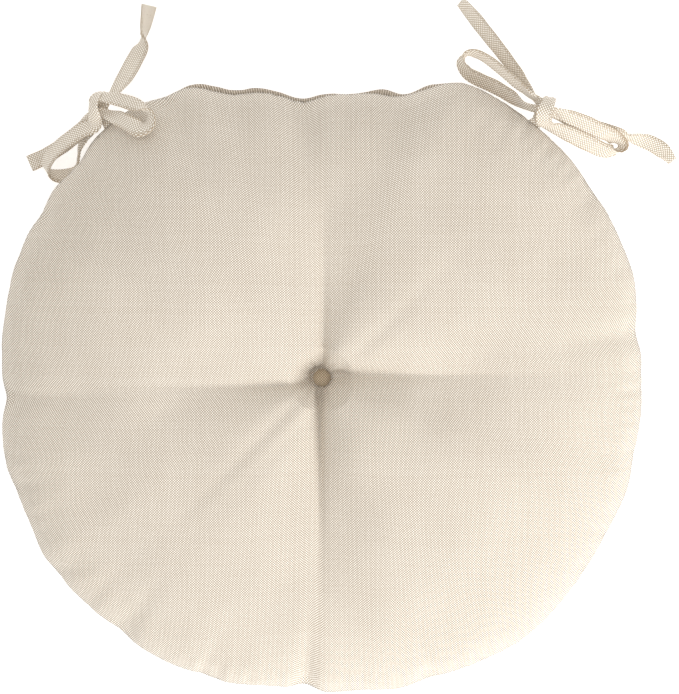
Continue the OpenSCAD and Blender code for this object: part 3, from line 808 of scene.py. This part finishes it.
def simulate():
    """Top and bottom points of the stuffed cover about the tuft, with z from the seam plane."""
    top, bottom = puffed(flat[:, 0], flat[:, 1], 1), puffed(flat[:, 0], flat[:, 1], -1)
    start = np.vstack([top, bottom[inner]])
    free = np.hstack([~is_rim, np.ones(len(inner), bool)])
    start[:, 2] += 0.5 * np.sin(start[:, 0] / 9) * np.sin(start[:, 1] / 11) * free
    mesh = bpy.data.meshes.new("cover_sim")
    mesh.from_pydata([tuple(p) for p in start * MM], [], cover_faces())
    obj = linked("cover_sim", mesh)
    obj.shape_key_add(name="stuffed")
    cut = obj.shape_key_add(name="cut")
    lay = np.vstack([flat, flat[inner]])
    for i, (x, y) in enumerate(lay):
        cut.data[i].co = (x * MM, y * MM, 0)
    cut.value = 0
    group = obj.vertex_groups.new(name="held")
    held = [i for i in range(len(start)) if np.hypot(*start[i, :2]) < SEAT_R + 0.4 or not free[i]]
    group.add(held, 1.0, "REPLACE")
    cloth = obj.modifiers.new("cloth", "CLOTH")
    s = cloth.settings
    s.quality, s.mass, s.air_damping = 6, 0.15, 2
    s.tension_stiffness = s.compression_stiffness = 30
    s.shear_stiffness, s.bending_stiffness = 3, 0.3
    s.tension_damping = s.compression_damping = s.shear_damping = 5
    s.bending_damping = 0.5
    s.vertex_group_mass, s.pin_stiffness = "held", 50
    s.rest_shape_key = cut
    s.use_pressure, s.uniform_pressure_force = True, 0.9
    s.effector_weights.gravity = 0
    cloth.collision_settings.use_collision = False
    for f in range(1, 31):
        bpy.context.scene.frame_set(f)
    shape = obj.evaluated_get(bpy.context.evaluated_depsgraph_get())
    out = read(shape.data.vertices, "co", 3) / MM
    bpy.context.scene.frame_set(1)
    bpy.data.objects.remove(obj)
    bpy.data.meshes.remove(mesh)
    return out[:n_flat], out[under_index]


def rest_on_floor(z):
    """Presses a surface smoothly onto the seat plane."""
    soft = 0.8
    return np.where(z > 30, z, soft * np.log1p(np.exp(np.minimum(z, 30) / soft)))


top_points, bottom_points = simulate()


def lumps(x, y, side):
    """Slight unevenness of the stuffing, and more of it in one lobe."""
    wide = 0.9 * np.sin(x / 23 + side) * np.sin(y / 27 + 2 * side)
    wide = wide + 0.7 * np.sin((x + y) / 17 + 3 * side) * np.sin((x - y) / 31)
    return wide + 4.5 * np.exp(-((x + 100) ** 2 + (y - 95) ** 2) / 58 ** 2) * (side > 0)


def puckers(a, phase):
    """Little radial gathers along the seam, stronger in some places than in others."""
    wave = np.zeros_like(a)
    for k, (turns, lean) in enumerate(((46, 5), (67, 8), (95, 13), (128, 7))):
        wave = wave + np.sin(np.radians(a * turns + 57 * k + phase)) * np.maximum(
            0, np.sin(np.radians(a * lean + 31 * k + phase)))
    return wave


def rim_creases(a, inward):
    """Creases that run in from the places where the rim is drawn in."""
    dent = 0 * a
    for at, depth, width in NOTCHES:
        if depth > 0 and width < 4:
            dent = dent + min(depth, 4) * bell(angle_from(a, at), width)
    return 0.55 * dent * np.exp(-np.maximum(0, inward - 4) / (6 + 3.5 * dent))


def fading(run, start, ramp, far):
    """Share of a fold's depth at distance run from the tuft: it grows from start over ramp, then fades."""
    return np.clip((run - start) / ramp, 0, 1) * bell(run, far)


def valleys(x, y, r):
    """Depth of the folds that run out from the tuft, of three soft slanting creases and of the hollow
    beside the tuft. Each row: distance along the fold, distance off its line, depth, width and reach."""
    dent = 0 * x
    for run, off, deep, wide, far in ((y, x - 1.0, 4.0, 4.0, 105), (-y, x + 1.0, 8.5, 6.0, 120),
                                      (-x, y + 4.0, 4.4, 5.0, 95), (x, y - 4.0, 9.0, 9.0, 115)):
        run = np.clip(run, 0, None)
        flank = np.exp(-np.abs(off) / (wide * (0.6 + run / 90)))
        dent = dent + deep * flank * fading(run, 4, 10, far)
    for run, off, deep, wide, far in ((-y, x + 2.5, 5.5, 2.8, 75), (-x, y + 3, 2.0, 2.4, 50),
                                      (y, x - 1.5, 1.2, 2.2, 60), (x, y - 2, 1.5, 2.6, 60)):
        dent = dent + deep * bell(off, wide) * fading(np.clip(run, 0, None), 4, 8, far)
    for side, middle, deep, wide, far in ((-1, -2, 1.5, 5.0, 90), (-1, 12, 0.9, 5.0, 75),
                                          (1, 4, 1.3, 5.5, 85)):
        run, off = side * (x + y) / math.sqrt(2), (x - y) / math.sqrt(2) - middle
        dent = dent + deep * bell(off, wide) * fading(run, 10, 22, far)
    dent = dent + 6 * np.exp(-((x + 6.5) ** 2 + (y - 3.5) ** 2) / 70)
    return dent * np.clip((r - 5) / 1.5, 0, 1)


def apply_modifiers(obj):
    """Replaces the object's mesh by what its modifiers make of it."""
    done = bpy.data.meshes.new_from_object(obj.evaluated_get(bpy.context.evaluated_depsgraph_get()))
    obj.modifiers.clear()
    obj.data = done
    return done


def gathered(r, a, side):
    """How far the cloth lies off its smooth shape along its normal, at r and a on the cut panel."""
    inward = (1 - np.minimum(1, r / cut_r(a))) * 202          # distance from the rim
    gather = puckers(a, 40 * side) * 0.24 * bell(inward - 7, 8)
    gather = gather + puckers(a * 0.63, 90 * side) * 0.16 * bell(inward - 18, 12)
    gather = gather - rim_creases(a, inward) * np.clip(inward / 4, 0, 1)
    x, y = on_circle(r, a).T
    body = lumps(x, y, side) * np.clip((r - 30) / 40, 0, 1) * np.clip(inward / 40, 0, 1)
    pleats = 0.35 * np.sin(np.radians(a * 11 + 20 * np.sin(np.radians(a * 3)))) * bell(r - 10, 4.5)
    return gather + body + pleats


def tuft_funnel(r, a):
    """How far the cloth stands up round the button, as a wall that is open on one side, and beyond it."""
    open_side = np.maximum(0, np.cos(np.radians(a - 155)))
    wall = np.clip((r - 5.2) / 2.4, 0, 1) * (1 - 0.8 * open_side)
    beyond = 7 * np.clip((r - 7) / 14, 0, 1) * np.exp(-np.maximum(0, r - 21) / 26)
    return 3.0 * wall * np.exp(-np.maximum(0, r - 8) / 30) + beyond


def panel_piece(name, points, side, material):
    """One panel: smoothed, gathered and folded, turned in at the rim and given its thickness."""
    mesh = bpy.data.meshes.new(name)
    mesh.from_pydata([tuple(p) for p in points], [], polys if side > 0 else [f[::-1] for f in polys])
    set_uvs(mesh, flat * MM)
    obj = linked(name, mesh)
    smooth = obj.modifiers.new("smooth", "SUBSURF")
    smooth.levels = smooth.render_levels = 2
    smooth.uv_smooth = "SMOOTH_ALL"
    smooth.boundary_smooth = "ALL"
    done = apply_modifiers(obj)
    bpy.data.meshes.remove(mesh)
    co = read(done.vertices, "co", 3)
    cut = np.zeros((len(co), 2))                              # each point's place on the cut panel
    cut[read(done.loops, "vertex_index", 1, int)[:, 0]] = read(
        done.uv_layers["cloth"].data, "uv", 2, np.float32) / MM
    r, a = polar(*cut.T)
    co = co + read(done.vertex_normals, "vector", 3) * gathered(r, a, side)[:, None]
    depth_share = 1 if side > 0 else 0.6                      # the underside is tufted less deeply
    co[:, 2] += side * depth_share * (tuft_funnel(r, a) - valleys(*cut.T, r))
    share = np.minimum(1, r / cut_r(a))
    if side < 0:
        slip = lip_shown(a) * share ** 60
        co[:, :2] += on_circle(slip, a)
        co[:, 2] -= LIP_DROP * slip
    co[:, 2] += side * (RIM_GAP * share ** 20 + tie_opening(a) * share ** 6)
    co[:, 1] += TUFT_Y
    co[:, 2] += SEAM_Z
    if side < 0:
        co[:, 2] = rest_on_floor(co[:, 2])
    done.vertices.foreach_set("co", (co * MM).ravel())
    done.update()
    turn_in(done, side)
    thicken = obj.modifiers.new("thickness", "SOLIDIFY")
    thicken.thickness, thicken.offset = CLOTH * MM, -1
    thicken.use_even_offset = False
    done = apply_modifiers(obj)
    done.polygons.foreach_set("use_smooth", [True] * len(done.polygons))
    done.materials.clear()
    done.materials.append(material)
    return obj


def order_key(part):
    """A number for an edge or face, from its points' indices."""
    at = [v.index for v in part.verts]
    return max(at) * 1e6 + sum(at)


def turn_in(mesh, side):
    """Seam allowance: the rim of the panel folds back between the two panels."""
    bm = bmesh.new()
    bm.from_mesh(mesh)
    kept = len(bm.faces)
    rim = [e for e in bm.edges if e.is_boundary]
    for step, lift in zip(ALLOWANCE, (0.0, 0.05)):
        made = bmesh.ops.extrude_edge_only(bm, edges=rim)["geom"]
        rim = [g for g in made if isinstance(g, bmesh.types.BMEdge)]
        for v in [g for g in made if isinstance(g, bmesh.types.BMVert)]:
            out = Vector((v.co.x, v.co.y - TUFT_Y * MM, 0))
            v.co -= out.normalized() * step * MM
            v.co.z += side * lift * MM
    # The new faces come in any order, so they are put into the same one on every run.
    bm.verts.index_update()
    bm.faces.index_update()
    bm.faces.sort(key=lambda f: f.index if f.index < kept else order_key(f))
    bm.edges.sort(key=order_key)
    bm.to_mesh(mesh)
    bm.free()


top_cloth = panel_piece("top_cloth", top_points, 1, canvas)
bottom_cloth = panel_piece("bottom_cloth", bottom_points, -1, canvas_under_shaded)
for piece, node in ((top_cloth, "top_panel"), (bottom_cloth, "bottom_panel")):
    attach(piece, "root")
    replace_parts(piece, node)


def filling_piece():
    """The stuffing fills the cover up to a few millimetres, and stops short of the seam allowances."""
    gap, tuft_gap, floor_gap = 3.4, 5.4, 1.6
    r, a = polar(*flat.T)
    share = np.minimum(1, r / cut_r(a))
    steep = 1 + 0.7 * bell(r - 30, 30)                        # more room on the steep walls round the tuft
    room = np.where(r < 7.5, tuft_gap, gap * steep) + valleys(*flat.T, r)
    made = []
    for side, points in ((1, top_points), (-1, bottom_points)):
        layer = points.copy()
        layer[:, :2] *= (1 - 0.06 * np.clip((share - 0.8) / 0.2, 0, 1))[:, None]
        layer[:, 2] = side * np.where(is_rim, 0, np.maximum(np.abs(layer[:, 2]) - room, 0.3))
        made.append(layer)
    made[1][:, 2] = rest_on_floor(made[1][:, 2] + SEAM_Z - floor_gap) + floor_gap - SEAM_Z
    points = np.vstack([made[0], made[1][inner]])
    points[:, 1] += TUFT_Y
    points[:, 2] += SEAM_Z
    loose = np.clip((np.hypot(points[:, 0], points[:, 1]) - 20) / 20, 0, 1)
    points[:, 2] += rng.normal(0, 0.1, len(points)) * loose
    return make_piece("fibre_stuffing", points, cover_faces(), wadding())


stuffing = filling_piece()
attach(stuffing, "root")
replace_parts(stuffing, "fibre_filling")


# ------------ seam and closing stitches

SEAM_IN = 4.5             # from the rim in to the row of stitches
STITCH_Z = 1.35           # the outer face of each panel there, above and below the seam plane


def seam_line(a, inset, z):
    """Points at angles a, inset inwards from the rim and z above the wandering seam plane."""
    height = SEAM_Z + seam_wave(a) + z + np.sign(z) * tie_opening(a)
    return np.column_stack([on_circle(rim_r(a) + rim_wave(a) - inset, a) + [0, TUFT_Y], height])


seam_a = np.linspace(OPENING[1], OPENING[0] + 360, 900)
up = np.tile([0, 0, 1.0], (900, 1))
needle = stitches("needle", seam_line(seam_a, SEAM_IN, STITCH_Z), up, 2.9, 2.3, 0.22, seam_thread)
bobbin = stitches("bobbin", seam_line(seam_a, SEAM_IN, -STITCH_Z), -up, 2.9, 2.3, 0.22, seam_thread)
lockstitch = joined("seam_thread_line", [needle, bobbin])
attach(lockstitch, "root")
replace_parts(lockstitch, "seam_lockstitch")


def closing_piece():
    """Slanted hand stitches that catch the lower panel's lip to the seam."""
    made = []
    turn = math.degrees(6 / 178)          # 6 mm apart at this distance from the tuft
    for a in np.arange(OPENING[0] + 2, OPENING[1] - 1, turn):
        shown = float(lip_shown(a))
        inner_end = seam_line(np.array([a]), 1.2, 1.0)[0]
        outer_end = seam_line(np.array([a + 0.8]), -shown * 0.85, 0.3 - LIP_DROP * shown * 0.85)[0]
        line = np.array([inner_end + (outer_end - inner_end) * t for t in np.linspace(-0.05, 1.05, 8)])
        span = np.linalg.norm(outer_end - inner_end)
        made.append(stitches("catch", line, np.tile([0, 0.4, 1.0], (8, 1)), span * 0.15, span * 0.9, 0.26,
                             stitch_thread_shaded))
    return joined("closing_hand_stitches", made)


closing = closing_piece()
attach(closing, "root")
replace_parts(closing, "closing_stitches")


# ------------ covered buttons and twine

def button(name, z, side):
    """A disc of the pad's cloth gathered over a dome: small pleats run in under its foot."""
    rings = [(0.0, 4.0), (0.9, 3.95), (1.8, 3.8), (2.7, 3.5), (3.5, 3.1), (4.2, 2.55), (4.8, 1.9),
             (5.25, 1.2), (5.5, 0.6), (5.35, 0.15), (4.9, 0.02), (4.0, 0.0), (3.1, 0.08)]
    around = 72
    points, uvs = [np.array([0, 0, 4.0])], [(0, 0)]
    arc = 0
    for i in range(1, len(rings)):
        arc += math.hypot(rings[i][0] - rings[i - 1][0], rings[i][1] - rings[i - 1][1])
        for j in range(around):
            w = 2 * math.pi * j / around
            low = max(0.0, (1.9 - rings[i][1]) / 1.9)
            r = rings[i][0] + 0.16 * low * math.sin(18 * w + 0.6 * math.sin(5 * w))
            points.append(np.array([r * math.cos(w), r * math.sin(w), rings[i][1]]))
            uvs.append((arc * math.cos(w) * MM, arc * math.sin(w) * MM))
    faces = [(0, 1 + j, 1 + (j + 1) % around) for j in range(around)]
    for i in range(len(rings) - 2):
        for j in range(around):
            k = (j + 1) % around
            p, q = 1 + i * around, 1 + (i + 1) * around
            faces.append((p + j, q + j, q + k, p + k))
    points = np.array(points)
    points[:, 2] = z + side * points[:, 2]
    points[:, 1] += TUFT_Y
    if side < 0:
        faces = [f[::-1] for f in faces]
    piece = make_piece(name, points, faces, button_weave_shaded, uvs)
    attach(piece, "root")
    return piece


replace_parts(button("top_button_cloth", 45.6, 1), "top_button_cover")
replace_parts(button("bottom_button_cloth", SEAM_Z - 7.6, -1), "bottom_button_cover")


def twine_piece():
    """Two plies of waxed twine laid round each other."""
    low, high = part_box("tuft_twine")
    rings, sides, turns = 60, 10, 3
    lay_r, ply_r = 0.55, 0.62
    made = []
    for ply in (0, math.pi):
        points, uvs = [], []
        for i in range(rings):
            t = i / (rings - 1)
            z = low.z / MM + t * (high.z - low.z) / MM
            w = ply + t * 2 * math.pi * turns
            cx, cy = lay_r * math.cos(w), lay_r * math.sin(w) + TUFT_Y
            for j in range(sides):
                q = 2 * math.pi * j / sides
                points.append((cx + ply_r * math.cos(q), cy + ply_r * math.sin(q), z))
                uvs.append((z * MM, j * 0.4 * MM))
        made.append(make_piece("ply", points, tube_faces(rings, sides), waxed_twine, uvs))
    return joined("tuft_twine_plies", made)


twine = twine_piece()
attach(twine, "root")
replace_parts(twine, "tuft_twine")

metal = pressed_metal()
for name in ("top_button_mould", "bottom_button_mould"):
    finish_node(name, metal)


def tack_material():
    net = Net("tack_thread", 0.7, 0.2)
    at = net.object_coords()
    twist = net.noise(at, 2400, 4, 0.7)
    net.colour(net.ramp(twist, 0.3, 0.7, linear(200, 186, 165), linear(242, 234, 219)))
    net.bump(twist, 0.5, 0.0001)
    return net.material


tack = tack_material()
for name in ("left_tie_bar_tack", "right_tie_bar_tack"):
    finish_node(name, tack)
